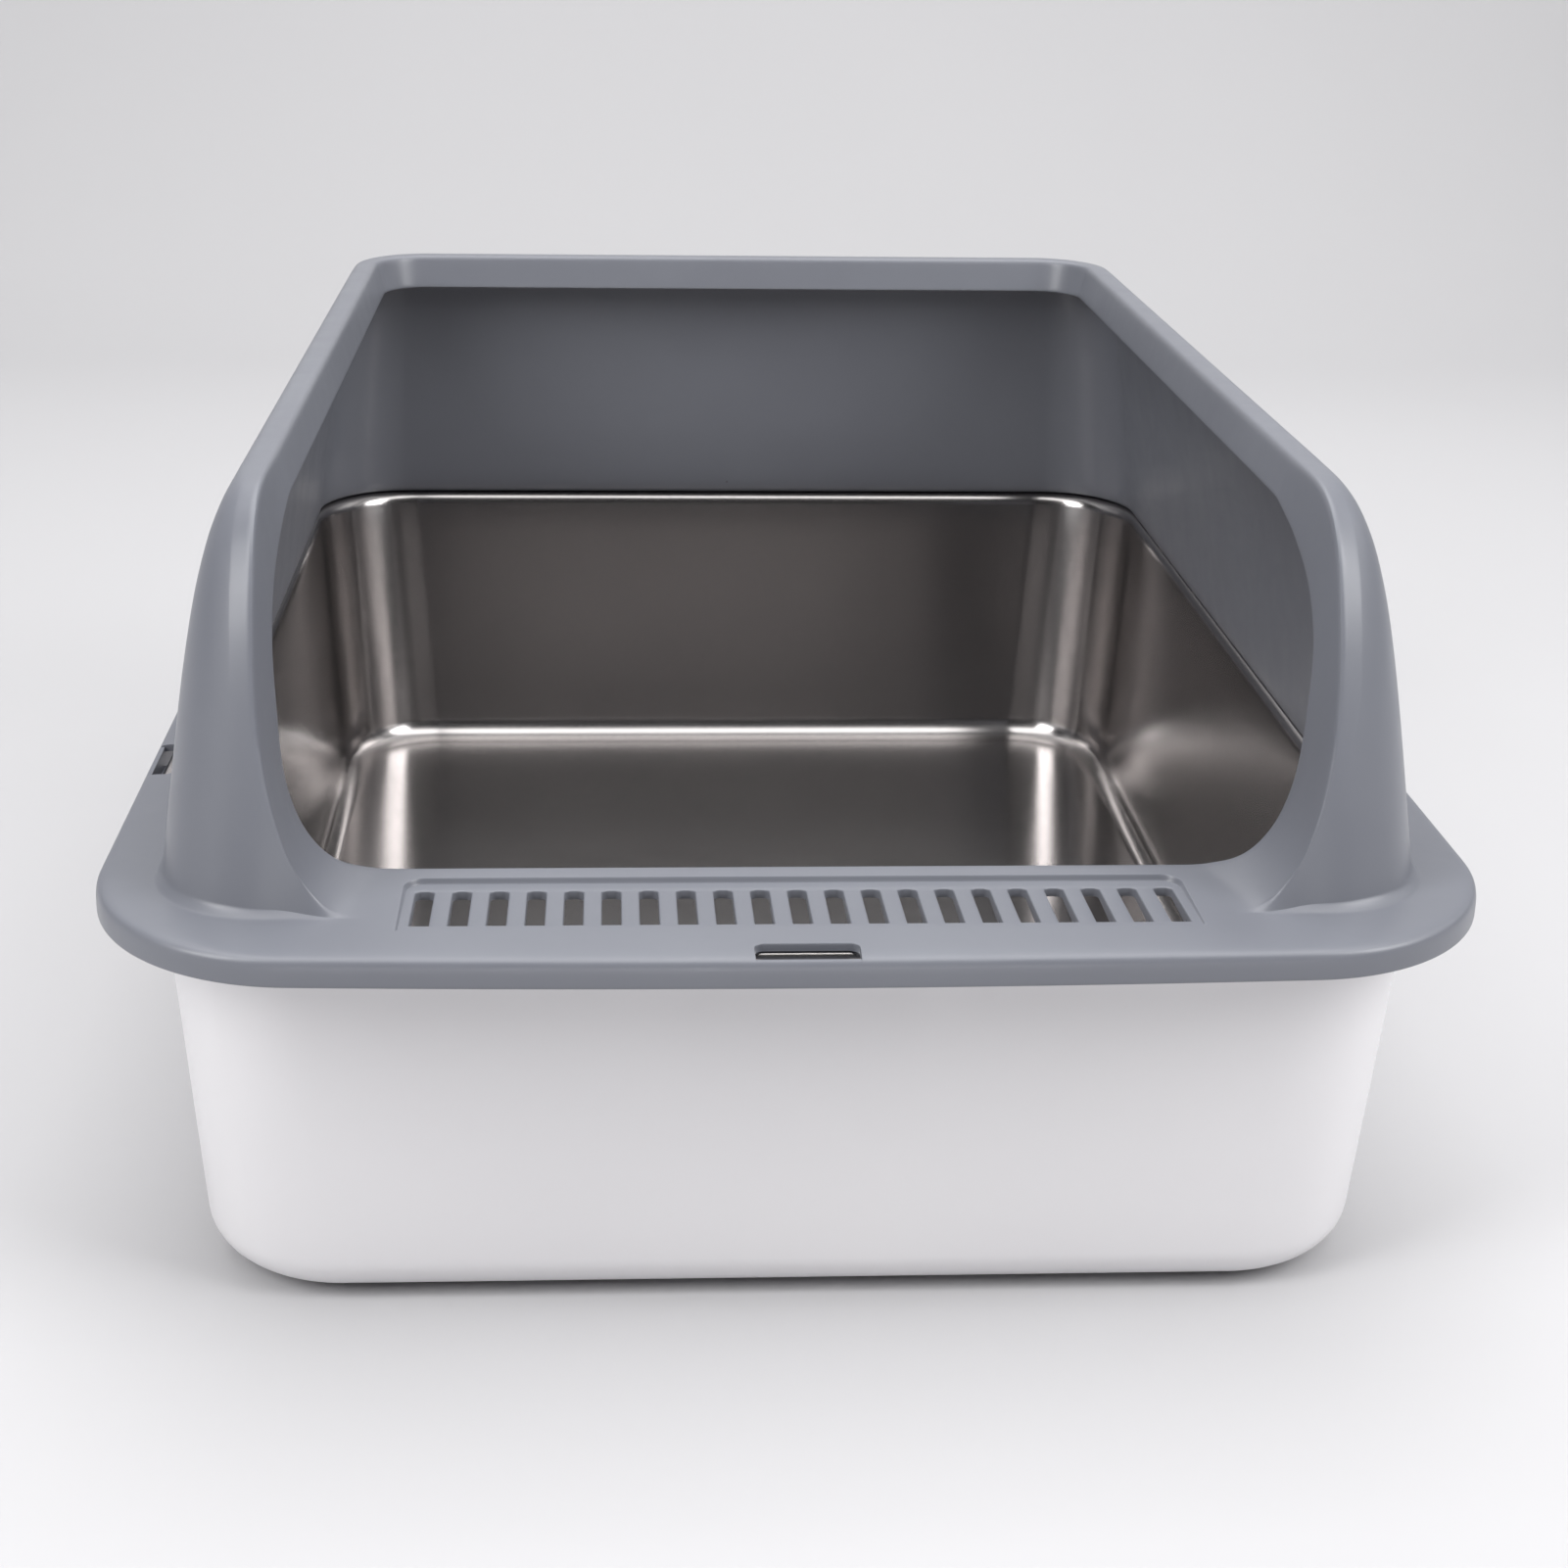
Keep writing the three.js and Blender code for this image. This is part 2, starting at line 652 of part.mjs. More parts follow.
// The recess: a floor that slopes down to the rear, with slopes at its sides and rear.
function recessCutter() {
  const fade = (y) => flangeTop - (recessDepth * (y - recessFront)) / (recessRear - recessFront);
  const outline = (side, rear, radius) =>
    roundedRear(-side, side, recessFront - overrun, rear, radius, smallSegments);
  const floor = outline(recessHalfWidth, recessRear, recessCorner - recessSlope);
  const mouth = outline(recessHalfWidth + recessSlope, recessRear + recessSlope, recessCorner);
  return loftCapped([
    floor.map((p) => point(p.x, p.y, fade(p.y))),
    mouth.map((p) => point(p.x, p.y, flangeTop)),
    mouth.map((p) => point(p.x, p.y, flangeTop + overrun)),
  ]);
}

// The plate under the recess keeps its wall: it stands as far below the flange as the recess is deep.
function grillePlate() {
  const side = recessHalfWidth + recessSlope;
  const rear = recessRear + recessSlope;
  const outline = roundedRear(-side, side, -footFront, rear, recessCorner, smallSegments);
  return prism(outline, flangeUnder - recessDepth, flangeTop - recessDepth);
}

function slotCutter(x) {
  const outline = roundedRear(
    x - slotWidth / 2,
    x + slotWidth / 2,
    slotFront,
    slotRear,
    slotCorner,
    smallSegments,
  );
  return prism(outline, flangeUnder - recessDepth - overrun, flangeTop + overrun);
}

// Surround: windows and catches, drawn at the front and turned to their places

const endEdge = skirtHalfLength + endBow;
const windowPlaces = [
  { turns: 0, along: 0, edge: endEdge, bead: beadHalfLength, reach: endWindowReach, length: endWindowLength },
  { turns: 2, along: 0, edge: endEdge, bead: beadHalfLength, reach: endWindowReach, length: endWindowLength },
];
for (const turns of [1, 3]) {
  for (const along of [-sideWindowPlace, sideWindowPlace]) {
    const sizes = { edge: skirtHalfWidth, bead: beadHalfWidth, reach: sideWindowReach, length: sideWindowLength };
    windowPlaces.push({ turns, along, ...sizes });
  }
}

function placed(solid, { turns, along }) {
  const matrix = new THREE.Matrix4().makeRotationZ(turns * quarterTurn);
  return solid.transform(matrix.multiply(new THREE.Matrix4().makeTranslation(along, 0, 0)).elements);
}

function windowCutter(place) {
  const { edge, reach, length } = place;
  const outline = (front) =>
    roundedRear(-length / 2, length / 2, front, reach - edge, windowCorner, smallSegments);
  const through = prism(outline(plasticWall - edge), skirtUnder + plasticWall, flangeTop + overrun);
  const notch = prism(outline(-edge - overrun), flangeTop - windowNotch, flangeTop + overrun);
  return placed(through.add(notch), place);
}

function catchSolid(place) {
  const { edge, bead, length } = place;
  const top = beadUnder - catchLift;
  const inSkirt = edge - plasticWall / 2;
  const tip = bead - catchBite;
  const profile = new THREE.Shape([
    new THREE.Vector2(tip, top - catchTip),
    new THREE.Vector2(inSkirt, skirtUnder),
    new THREE.Vector2(inSkirt, top),
    new THREE.Vector2(tip, top),
  ]);
  const depth = length - 2 * catchMargin;
  const geometry = new THREE.ExtrudeGeometry(profile, { depth, bevelEnabled: false });
  geometry.translate(0, 0, -depth / 2);
  const axes = new THREE.Matrix4().makeBasis(point(0, -1, 0), point(0, 0, 1), point(-1, 0, 0));
  return placed(solidOf(geometry, axes), place);
}

function makeSurround() {
  const outer = outerRings();
  const moulding = loftLoop([...outer, ...innerRings(outer).reverse()]).add(grillePlate());
  let surround = moulding.subtract(recessCutter());
  for (let k = -slotsEachSide; k <= slotsEachSide; k++) {
    surround = surround.subtract(slotCutter(k * slotPitch));
  }
  for (const place of windowPlaces) {
    surround = surround.subtract(windowCutter(place)).add(catchSolid(place));
  }
  return surround;
}

// The assembly

function named(name, geometry, material) {
  const mesh = new THREE.Mesh(geometry, material);
  mesh.name = name;
  return mesh;
}

const litterBox = new THREE.Group();
litterBox.add(named("outer_tub", geometryOf(makeTub()), satinWhite));
litterBox.add(named("steel_pan", geometryOf(makePan()), brushedSteel));
litterBox.add(named("surround", geometryOf(makeSurround()), satinGrey));
for (const [name, x, y] of padPlaces) {
  const pad = named(name, disc(padDiameter / 2, 0, tubUnder + padSocket - seatGap), softRubber);
  pad.position.set(x, y, 0);
  litterBox.add(pad);
}

export default litterBox;
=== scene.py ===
"""The looks of a semi-enclosed litter box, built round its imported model.

Lengths are millimetres until a mesh is made, and the object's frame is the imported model's.
"""

import math

import bmesh
import bpy
import numpy as np
from mathutils import Matrix, Vector


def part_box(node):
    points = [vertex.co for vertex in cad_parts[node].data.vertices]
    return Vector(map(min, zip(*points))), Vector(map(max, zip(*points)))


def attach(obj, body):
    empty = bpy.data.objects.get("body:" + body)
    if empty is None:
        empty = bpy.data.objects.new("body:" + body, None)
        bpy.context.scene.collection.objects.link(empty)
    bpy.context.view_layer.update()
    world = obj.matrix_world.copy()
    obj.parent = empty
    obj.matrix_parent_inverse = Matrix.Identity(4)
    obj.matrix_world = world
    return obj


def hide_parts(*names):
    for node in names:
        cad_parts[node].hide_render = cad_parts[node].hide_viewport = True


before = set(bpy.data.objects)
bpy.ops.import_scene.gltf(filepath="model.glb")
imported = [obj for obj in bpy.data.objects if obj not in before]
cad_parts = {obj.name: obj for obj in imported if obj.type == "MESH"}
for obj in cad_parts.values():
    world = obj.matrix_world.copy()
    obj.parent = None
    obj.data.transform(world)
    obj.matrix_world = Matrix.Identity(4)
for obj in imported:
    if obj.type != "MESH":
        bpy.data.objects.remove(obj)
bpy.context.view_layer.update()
MM = 0.001


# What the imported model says: the box of each node, in millimetres
def node_box(name):
    low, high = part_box(name)
    return np.array(low) / MM, np.array(high) / MM


_, surround_high = node_box("surround")
pan_low, pan_high = node_box("steel_pan")
tub_low, tub_high = node_box("outer_tub")

# Surround: skirt and flange
plastic_wall = 2.2
skirt_drop = 8
skirt_corner = 55
edge_round = 2.6
end_bow = 5
side_ledge = 17.3
front_ledge = 21.5
back_ledge = 16

# Surround: walls and posts
front_foot_corner = 30
back_foot_corner = 34
front_rim_corner = 14
back_rim_corner = 25
post_tighten_power = 3
foot_fillet = 1.8
foot_crispness = 1.1
edge_crispness = 0.7
wall_lean = 12.4
shoulder_roll = 9.6
post_lean = 23
post_roll = 44
shoulder_start_power = 4
shoulder_tight_share = 0.6
post_start_power = 4
post_tight_share = 0.25

# Surround: rim, lip and entry
rim_land = 6.2
crease_round = 2.6
lip_drop = 11.7
lip_inset = 3
entry_draft = 1
entry_sweep_width = 21
entry_sweep_height = 60
platform_depth = 30.2
lip_sweep_width = 25.5

# Surround: grille, windows and catches
slot_pitch = 9.6
slot_width = 4.9
slot_length = 23.6
slot_corner = 1.7
slot_margin = 12.3
slot_edge_round = 0.45
grille_margin = 17
recess_depth = 1.5
recess_slope = 1.3
recess_side_gap = 2.2
recess_rear_gap = 4.6
recess_lead = 2.2
recess_corner = 6
recess_rise_start = 0.15
recess_rise_run = 0.7
end_window_length = 26
end_window_reach = 9.5
side_window_length = 24
side_window_reach = 8.4
side_window_place = 98
window_corner = 2.5
window_notch = 0.9
window_edge_round = 0.35
catch_margin = 2
catch_bite = 1.2
catch_tip = 0.9
catch_lift = 0.4

# Steel pan
steel_sheet = 0.8
pan_corner = 36
pan_floor_corner = 37
pan_floor_fillet = 8.5
mouth_fillet = 4.5
bead_radius = 1.6
rim_corner = 50

# Outer tub
tub_wall = 1.6
tub_fillet = 12
tub_rim_wall = 2
tub_rim_inset = 1.2
tub_rim_soft_share = 0.3
tub_floor = 2.4
wall_draft_share = 0.052
nest_gap = 0.3
seat_gap = 0.3
overrun = 2

# Levels and half sizes
flange_top = pan_high[2] + seat_gap + plastic_wall
flange_under = flange_top - plastic_wall
wall_height = surround_high[2] - flange_top
skirt_under = flange_top - skirt_drop
steel_top = pan_high[2]
steel_under = steel_top - steel_sheet
bead_under = steel_top - 2 * bead_radius
pan_under = pan_low[2]
pan_floor = pan_under + steel_sheet
pan_depth = steel_top - pan_floor
tub_under = tub_low[2]
tub_floor_top = tub_under + tub_floor
tub_rim_top = tub_high[2]
skirt_half_width = surround_high[0]
skirt_half_length = surround_high[1] - end_bow
foot_half_width = skirt_half_width - side_ledge
foot_front = skirt_half_length - front_ledge
foot_back = skirt_half_length - back_ledge
bead_half_width = pan_high[0]
bead_half_length = pan_high[1]
mouth_half_width = foot_half_width - plastic_wall
mouth_half_length = foot_back - plastic_wall
crease_half_width = foot_half_width - wall_lean - shoulder_roll - rim_land
lip_half_width = crease_half_width - lip_inset
entry_foot_half_width = crease_half_width - entry_draft - entry_sweep_width
platform_edge = -(foot_front - platform_depth)

QUARTER = math.pi / 2


def even_shares(segments):
    return [k / segments for k in range(segments + 1)]


def lerp(a, b, share):
    return a + (b - a) * share


# Meshes

def mesh_object(name, vertices, faces):
    mesh = bpy.data.meshes.new(name)
    mesh.from_pydata([tuple(float(c) * MM for c in v) for v in vertices], [], faces)
    mesh.validate()
    piece = bpy.data.objects.new(name, mesh)
    bpy.context.scene.collection.objects.link(piece)
    return piece


def ring_faces(count, lower, upper):
    faces = []
    for i in range(count):
        following = (i + 1) % count
        faces.append((lower + i, lower + following, upper + following, upper + i))
    return faces


def loft_loop(name, rings):
    """A section swept round the box: the last ring joins the first."""
    count = len(rings[0])
    faces = []
    for j in range(len(rings)):
        faces += ring_faces(count, j * count, (j + 1) % len(rings) * count)
    return mesh_object(name, [p for ring in rings for p in ring], faces)


def loft_capped(name, rings):
    """Rings joined in turn, with the first and the last closed by one flat face each."""
    count = len(rings[0])
    last = (len(rings) - 1) * count
    faces = []
    for j in range(len(rings) - 1):
        faces += ring_faces(count, j * count, (j + 1) * count)
    faces.append(tuple(range(count - 1, -1, -1)))
    faces.append(tuple(range(last, last + count)))
    return mesh_object(name, [p for ring in rings for p in ring], faces)


def apply_modifiers(piece):
    bpy.context.view_layer.update()
    depsgraph = bpy.context.evaluated_depsgraph_get()
    mesh = bpy.data.meshes.new_from_object(piece.evaluated_get(depsgraph))
    piece.modifiers.clear()
    piece.data = mesh


def subdivided(piece, levels):
    modifier = piece.modifiers.new("smooth", "SUBSURF")
    modifier.levels = levels
    modifier.render_levels = levels
    apply_modifiers(piece)


def combine(piece, tool, operation):
    modifier = piece.modifiers.new("cut", "BOOLEAN")
    modifier.object = tool
    modifier.operation = operation
    modifier.solver = "MANIFOLD"
    apply_modifiers(piece)
    bpy.data.objects.remove(tool)


def smooth_by_angle(piece, degrees):
    piece.data.polygons.foreach_set("use_smooth", [True] * len(piece.data.polygons))
    piece.data.set_sharp_from_angle(angle=math.radians(degrees))


# Plan outlines

def quarter_arc(x, y, radius, start, segments):
    points = []
    for share in even_shares(segments):
        angle = (start + share) * QUARTER
        points.append((x + radius * math.cos(angle), y + radius * math.sin(angle)))
    return points


def rounded_rear(left, right, front, rear, radius, segments=8):
    return [
        (left, front),
        (right, front),
        *quarter_arc(right - radius, rear - radius, radius, 0, segments),
        *quarter_arc(left + radius, rear - radius, radius, 1, segments),
    ]


def round_ring(half_width, half_length, radius, z, segments=24, sides=10):
    """A rounded rectangle at one level, with extra points along its straight sides."""
    x = half_width - radius
    y = half_length - radius
    corners = [
        quarter_arc(x, -y, radius, 3, segments),
        quarter_arc(x, y, radius, 0, segments),
        quarter_arc(-x, y, radius, 1, segments),
        quarter_arc(-x, -y, radius, 2, segments),
    ]
    plan = []
    for k, corner in enumerate(corners):
        following = corners[(k + 1) % 4][0]
        plan += corner
        for share in even_shares(sides)[1:-1]:
            plan.append(tuple(lerp(corner[-1][i], following[i], share) for i in (0, 1)))
    return [(px, py, z) for px, py in plan]


# Walls of pan and tub: every face is the pan's inner face moved outwards

def wall_ring(outward, z):
    inset = (steel_top - z) * wall_draft_share - outward
    corner = lerp(pan_corner, pan_floor_corner, (steel_top - z) / pan_depth) + outward
    return round_ring(mouth_half_width - inset, mouth_half_length - inset, corner, z)


def wall_rings(outward, low, high, steps=8):
    return [wall_ring(outward, lerp(low, high, share)) for share in even_shares(steps)[1:-1]]


def floor_fillet_rings(outward, floor, fillet, segments=10):
    rings = []
    for share in even_shares(segments):
        angle = share * QUARTER
        inset = fillet * (1 - math.sin(angle))
        rings.append(wall_ring(outward - inset, floor + fillet * (1 - math.cos(angle))))
    return rings


def mouth_fillet_rings(outward, level, fillet, segments=6):
    rings = []
    for share in even_shares(segments):
        angle = share * QUARTER
        flare = fillet * (1 - math.sin(angle))
        rings.append(wall_ring(outward + flare, level - fillet * (1 - math.cos(angle))))
    return rings


def rim_ring(inset, z):
    return round_ring(bead_half_width - inset, bead_half_length - inset, rim_corner - inset, z)


def bead_rings(segments=14):
    rings = [rim_ring(2 * bead_radius, steel_under)]
    for share in even_shares(segments):
        angle = lerp(-math.pi, QUARTER, share)
        z = steel_top - bead_radius + bead_radius * math.sin(angle)
        rings.append(rim_ring(bead_radius * (1 - math.cos(angle)), z))
    return rings


def floor_rings(ring, z, steps=4, draw_in=0.5):
    """A flat floor's rings, drawn in from the foot of its fillet."""
    rings = []
    for share in even_shares(steps)[1:]:
        keep = 1 - draw_in * share
        rings.append([(x * keep, y * keep, z) for x, y, _ in ring])
    return rings


def make_pan():
    fillet = pan_floor_fillet
    outer_fillet = floor_fillet_rings(steel_sheet, pan_under, fillet + steel_sheet)
    inner_fillet = floor_fillet_rings(0, pan_floor, fillet)
    outer_mouth = mouth_fillet_rings(steel_sheet, steel_under, mouth_fillet - steel_sheet)
    inner_mouth = mouth_fillet_rings(0, steel_top, mouth_fillet)
    wall_low = pan_floor + fillet
    wall_high = steel_top - mouth_fillet
    return loft_capped("steel_pan_drawn", [
        *floor_rings(outer_fillet[0], pan_under)[::-1],
        *outer_fillet,
        *wall_rings(steel_sheet, wall_low, wall_high),
        *outer_mouth[::-1],
        *bead_rings(),
        *inner_mouth,
        *wall_rings(0, wall_low, wall_high)[::-1],
        *inner_fillet[::-1],
        *floor_rings(inner_fillet[0], pan_floor),
    ])


def make_tub():
    inside = steel_sheet + nest_gap
    outside = inside + tub_wall
    rim_inset = 2 * bead_radius + tub_rim_inset
    inner_radius = pan_floor_fillet + steel_sheet
    outer_fillet = floor_fillet_rings(outside, tub_under, tub_fillet)
    inner_fillet = floor_fillet_rings(inside, tub_floor_top, inner_radius)
    rim_under = tub_rim_top - tub_rim_wall
    soft = tub_rim_wall * tub_rim_soft_share
    return loft_capped("outer_tub_shell", [
        *floor_rings(outer_fillet[0], tub_under)[::-1],
        *outer_fillet,
        *wall_rings(outside, tub_under + tub_fillet, rim_under),
        wall_ring(outside, rim_under),
        rim_ring(rim_inset + soft, rim_under),
        rim_ring(rim_inset, rim_under + soft),
        rim_ring(rim_inset, tub_rim_top - soft),
        rim_ring(rim_inset + soft, tub_rim_top),
        *mouth_fillet_rings(inside, tub_rim_top, mouth_fillet - inside),
        *wall_rings(inside, tub_floor_top + inner_radius, tub_rim_top)[::-1],
        *inner_fillet[::-1],
        *floor_rings(inner_fillet[0], tub_floor_top),
    ])


def pad_socket_cutter(pad_low, pad_high):
    """The shallow round socket in the tub's floor that one pad is glued into."""
    middle = (pad_low + pad_high) / 2
    radius = (pad_high[0] - pad_low[0]) / 2 + seat_gap
    segments = 48
    circle = []
    for k in range(segments):
        angle = 4 * QUARTER * k / segments
        circle.append((middle[0] + radius * math.cos(angle), middle[1] + radius * math.sin(angle)))
    return prism("pad_socket", circle, tub_under - overrun, pad_high[2] + seat_gap)


# Surround: plan outlines of its outer face

def move_in(height, lean, roll, power, tight_share):
    share = min(max(height / wall_height, 0), 1)
    return lean * share + roll * (1 - (1 - share ** power) ** tight_share)


def outline_at(height):
    """Side, front, back, front corner radius and back corner radius at a height."""
    share = min(max(height / wall_height, 0), 1)
    side_in = move_in(height, wall_lean, shoulder_roll, shoulder_start_power, shoulder_tight_share)
    post_in = move_in(height, post_lean, post_roll, post_start_power, post_tight_share)
    return (
        foot_half_width - side_in,
        foot_front - post_in,
        foot_back - side_in,
        lerp(front_foot_corner, front_rim_corner, share ** post_tighten_power),
        lerp(back_foot_corner, back_rim_corner, share),
    )


def shrunk(outline, inset):
    return tuple(size - inset for size in outline)


BACK_CORNER_ZONE = 3
BACK_ZONE = 4


def plan_point(zone, outline):
    """A point on the right half of an outline.

    Zone 0 is half the front, 1 the front corner, 2 the side, 3 the back corner and 4 half the
    back. What follows the whole number is the share of the way along that zone.
    """
    side, front, back, front_corner, back_corner = outline
    part = min(int(zone), BACK_ZONE)
    share = zone - part
    sine = math.sin(share * QUARTER)
    cosine = math.cos(share * QUARTER)
    front_x = side - front_corner
    front_y = front_corner - front
    back_x = side - back_corner
    back_y = back - back_corner
    if part == 0:
        return share * front_x, -front
    if part == 1:
        return front_x + front_corner * sine, front_y - front_corner * cosine
    if part == 2:
        return side, lerp(front_y, back_y, share)
    if part == BACK_CORNER_ZONE:
        return back_x + back_corner * cosine, back_y + back_corner * sine
    return (1 - share) * back_x, back


skirt_outline = (skirt_half_width, skirt_half_length, skirt_half_length, skirt_corner, skirt_corner)


def skirt_point(zone, inset, z):
    x, y = plan_point(zone, shrunk(skirt_outline, inset))
    crown = end_bow * (1 - (x / (skirt_half_width - inset)) ** 2)
    return np.array([x, y + math.copysign(crown, y), z])


# Surround: the front corners, where the walls sweep down into the platform

def entry_at(height):
    straight = crease_half_width - entry_draft * (1 - height / wall_height)
    fall = max(0, 1 - height / entry_sweep_height)
    return straight - entry_sweep_width * (1 - math.sqrt(1 - fall ** 2))


def front_at(height, x):
    side, front, _, corner, _ = outline_at(height)
    past = max(0, x - (side - corner))
    return corner - front - math.sqrt(max(0, corner ** 2 - past ** 2))


rim_outline = outline_at(wall_height)
bend_y = rim_outline[3] - rim_outline[1]


class Path:
    """A polyline, read by shares of its length."""

    def __init__(self, points):
        self.points = np.array(points, float)
        steps = np.linalg.norm(np.diff(self.points, axis=0), axis=1)
        along = np.concatenate([[0], np.cumsum(steps)])
        self.shares = along / along[-1]

    def at(self, share):
        columns = range(self.points.shape[1])
        return np.array([np.interp(share, self.shares, self.points[:, c]) for c in columns])


def make_crease(samples=600):
    points = [(crease_half_width, bend_y, flange_top + wall_height)]
    for share in even_shares(samples):
        height = wall_height * (1 + math.cos(math.pi * share)) / 2
        x = entry_at(height)
        points.append((x, front_at(height, x), flange_top + height))
    return Path(points)


# Shares of the lip sweep's width, of the way back to the bend and of the level lip's height.
LIP_EDGE_SHARES = [
    (0, 1, 1),
    (0, 0.6, 0.94),
    (0, 0.25, 0.84),
    (0.01, 0.05, 0.7),
    (0.03, 0, 0.54),
    (0.09, 0, 0.27),
    (0.28, 0, 0.115),
    (0.56, 0, 0.03),
    (1, 0, 0),
]


def through(points, samples=40):
    """A smooth curve through points: a centripetal Catmull-Rom spline."""
    p = [np.array(q, float) for q in points]
    p = [2 * p[0] - p[1], *p, 2 * p[-1] - p[-2]]
    curve = []
    for k in range(1, len(p) - 2):
        knots = [0.0]
        for i in range(k - 1, k + 2):
            knots.append(knots[-1] + max(np.linalg.norm(p[i + 1] - p[i]), 1e-6) ** 0.5)
        for share in even_shares(samples)[: samples + (k == len(p) - 3)]:
            t = lerp(knots[1], knots[2], share)
            level = [p[k - 1 + i] for i in range(4)]
            for depth in range(1, 4):
                level = [
                    level[i] + (level[i + 1] - level[i]) * spline_share(knots, i, depth, t)
                    for i in range(4 - depth)
                ]
            curve.append(level[0])
    return curve


def spline_share(knots, i, depth, t):
    """How far the point at t lies between two knots of the Catmull-Rom pyramid."""
    if depth == 1:
        return (t - knots[i]) / (knots[i + 1] - knots[i])
    if depth == 2:
        return (t - knots[i]) / (knots[i + 2] - knots[i])
    return (t - knots[1]) / (knots[2] - knots[1])


def make_lip_edge():
    top = wall_height - lip_drop
    return Path(through([
        (
            lip_half_width - inward * lip_sweep_width,
            lerp(platform_edge, bend_y, back),
            flange_top + up * top,
        )
        for inward, back, up in LIP_EDGE_SHARES
    ]))


def make_foot_line():
    x = foot_half_width - front_foot_corner
    y = front_foot_corner - foot_front
    arc = quarter_arc(x, y, front_foot_corner, 3, 60)[::-1]
    return Path([(foot_half_width, bend_y), *arc, (entry_foot_half_width, -foot_front)])


crease = make_crease()
lip_edge = make_lip_edge()
foot_line = make_foot_line()

FAN_SHARE = 1 / 3
fan = np.array([foot_half_width * FAN_SHARE, -foot_front * FAN_SHARE])


def angle_of(p):
    return math.atan2(p[1] - fan[1], p[0] - fan[0])


def on_front_corner(height, angle):
    side, front, _, corner, _ = outline_at(height)
    way = np.array([math.cos(angle), math.sin(angle)])
    centre = np.array([side - corner, corner - front])
    side_hit = fan + way * (side - fan[0]) / way[0]
    z = flange_top + height
    if side_hit[1] >= centre[1]:
        return np.array([side, side_hit[1], z])
    front_hit = fan + way * (-front - fan[1]) / way[1]
    if front_hit[0] <= centre[0]:
        return np.array([front_hit[0], -front, z])
    to_centre = centre - fan
    along = to_centre @ way
    reach = along + math.sqrt(along ** 2 - to_centre @ to_centre + corner ** 2)
    return np.array([*(fan + reach * way), z])


# Surround: stations of its outer face, each from the skirt's edge over the flange, up the wall,
# across the rim and down the lip

ROW_SHARES = [0.12, 0.25, 0.38, 0.5, 0.61, 0.72, 0.79, 0.86, 0.9, 0.94, 0.965, 0.985, 0.995, 1]
FAN_ROW_SHARES = list(np.interp(
    ROW_SHARES,
    [0, 0.25, 0.5, 0.72, 0.86, 0.94, 0.985, 1],
    [0, 0.18, 0.38, 0.58, 0.74, 0.86, 0.95, 1],
))
LAND_ANGLE_SHARE = 0.45
SPREAD_STRIP = 1.4
FLAT_START_SHARE = 0.12
# How far each row moves outwards where the wall runs out into the platform, in strip widths.
SPREAD_SHARES = list(np.linspace(1, -0.8, len(ROW_SHARES) + 1)) + [-1.5]


def flange_points(zone):
    soft = edge_round * (1 - math.sqrt(0.5))
    return [
        skirt_point(zone, 0, skirt_under),
        skirt_point(zone, 0, flange_top - edge_round),
        skirt_point(zone, soft, flange_top - soft),
        skirt_point(zone, edge_round, flange_top),
    ]


# The skirt's zones at which the platform ends and at which the walls bend down to the front.
SIDE_MIDDLE_ZONE = 2.5
crease_end_zone = entry_foot_half_width / (skirt_half_width - skirt_corner)
bend_zone = SIDE_MIDDLE_ZONE + bend_y / (2 * (skirt_half_length - skirt_corner))


def wall_station(zone):
    def at(height, inset):
        outline = shrunk(outline_at(height), inset)
        x, y = plan_point(zone, outline)
        side_end = outline[2] - outline[4]
        if zone < BACK_CORNER_ZONE:
            x = outline[0]
            along = (zone - bend_zone) / (BACK_CORNER_ZONE - bend_zone)
            y = lerp(bend_y, side_end, along)
        return np.array([x, y, flange_top + height])

    lip = at(wall_height, rim_land + lip_inset)
    lip[2] -= lip_drop
    rows = [at(share * wall_height, 0) for share in ROW_SHARES]
    land = at(wall_height, rim_land)
    return [*flange_points(zone), at(0, -foot_fillet), at(foot_fillet, 0), *rows, land, lip]


def post_station(zone, along):
    top = crease.at(along)
    foot_plan = foot_line.at(along)
    height = top[2] - flange_top
    foot_angle = angle_of(foot_plan)
    top_angle = angle_of(top)
    land_angle = math.atan(rim_land / math.hypot(top[0] - fan[0], top[1] - fan[1]))
    rows_end = top_angle + min(land_angle, (foot_angle - top_angle) * LAND_ANGLE_SHARE)
    flatness = max(0, 1 - height / (FLAT_START_SHARE * wall_height))
    outward = (foot_plan - fan) / np.linalg.norm(foot_plan - fan)

    def push(p, distance):
        return p + np.array([*(outward * distance), 0])

    rows = [on_front_corner(min(foot_fillet, height * ROW_SHARES[0]), foot_angle)]
    for share, fan_share in zip(ROW_SHARES, FAN_ROW_SHARES):
        rows.append(on_front_corner(share * height, lerp(foot_angle, rows_end, fan_share)))
    rows.append(top)
    foot = np.array([*foot_plan, flange_top])
    return [
        *flange_points(zone),
        push(foot, foot_fillet + flatness * SPREAD_STRIP / 2),
        *[push(p, s * SPREAD_STRIP * flatness) for p, s in zip(rows, SPREAD_SHARES)],
        lip_edge.at(along),
    ]


def platform_station(zone, across):
    ahead = [foot_fillet + SPREAD_STRIP / 2, *[s * SPREAD_STRIP for s in SPREAD_SHARES]]
    x = across * entry_foot_half_width
    lip_x = across * (lip_half_width - lip_sweep_width)
    return [
        *flange_points(zone),
        *[np.array([x, -foot_front - distance, flange_top]) for distance in ahead],
        np.array([lip_x, platform_edge, flange_top]),
    ]


PLATFORM_STATIONS = 12
POST_STATIONS = 44
SIDE_STATIONS = 14
BACK_CORNER_STATIONS = 14
BACK_STATIONS = 8


